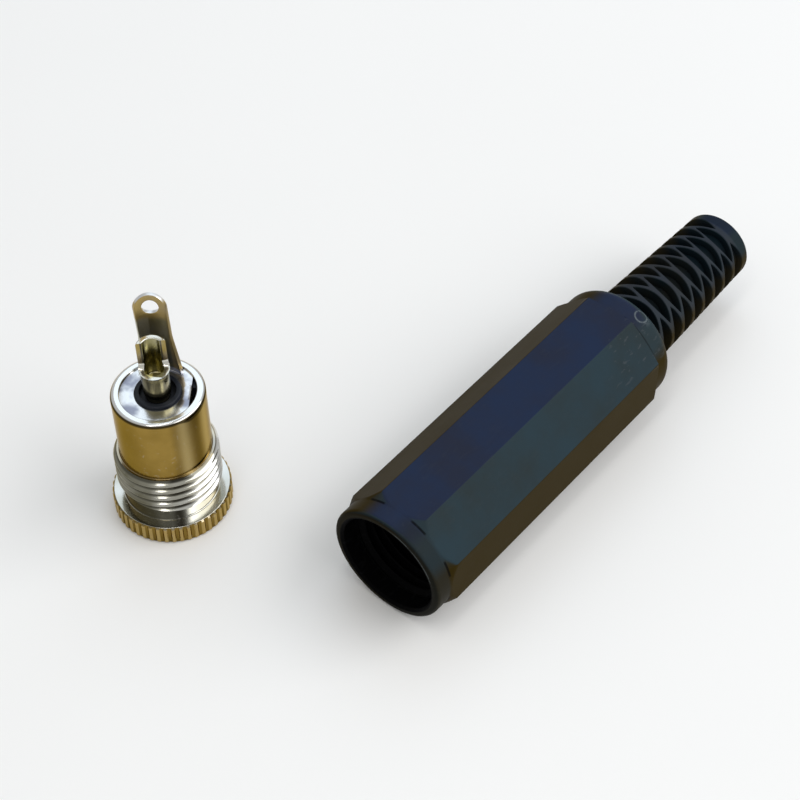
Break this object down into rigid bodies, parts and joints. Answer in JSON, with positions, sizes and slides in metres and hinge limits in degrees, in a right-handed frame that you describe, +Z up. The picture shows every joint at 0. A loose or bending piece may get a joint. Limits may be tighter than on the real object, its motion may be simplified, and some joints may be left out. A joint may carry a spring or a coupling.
{
  "type": "inline dc barrel jack with cable shell",
  "caption": "Cable-end DC power socket for a barrel plug: turned metal core with a knurled flange, thread and solder lugs, beside its unscrewed octagonal shell with strain relief.",
  "frame": {"origin": "middle of the whole, seen from above, at table height", "axes": "+Z up along the socket core's axis, from the mating face towards the solder lugs; +Y along the shell's axis, from its mouth towards the cable end"},
  "size_m": [0.0288, 0.05, 0.0199],
  "materials": {
    "plated_brass": "bright nickel over brass, warm on the smooth barrel",
    "insulator_black": "satin",
    "terminal_metal": "bright nickel plate",
    "pin_metal": "bright nickel plate",
    "shell_black": "semi-gloss, as moulded"
  },
  "bodies": {
    "root": {"socket_body": "plated_brass", "socket_insulator": "insulator_black", "sleeve_terminal": "terminal_metal", "centre_pin": "pin_metal", "backshell": "shell_black"}
  },
  "joints": []
}
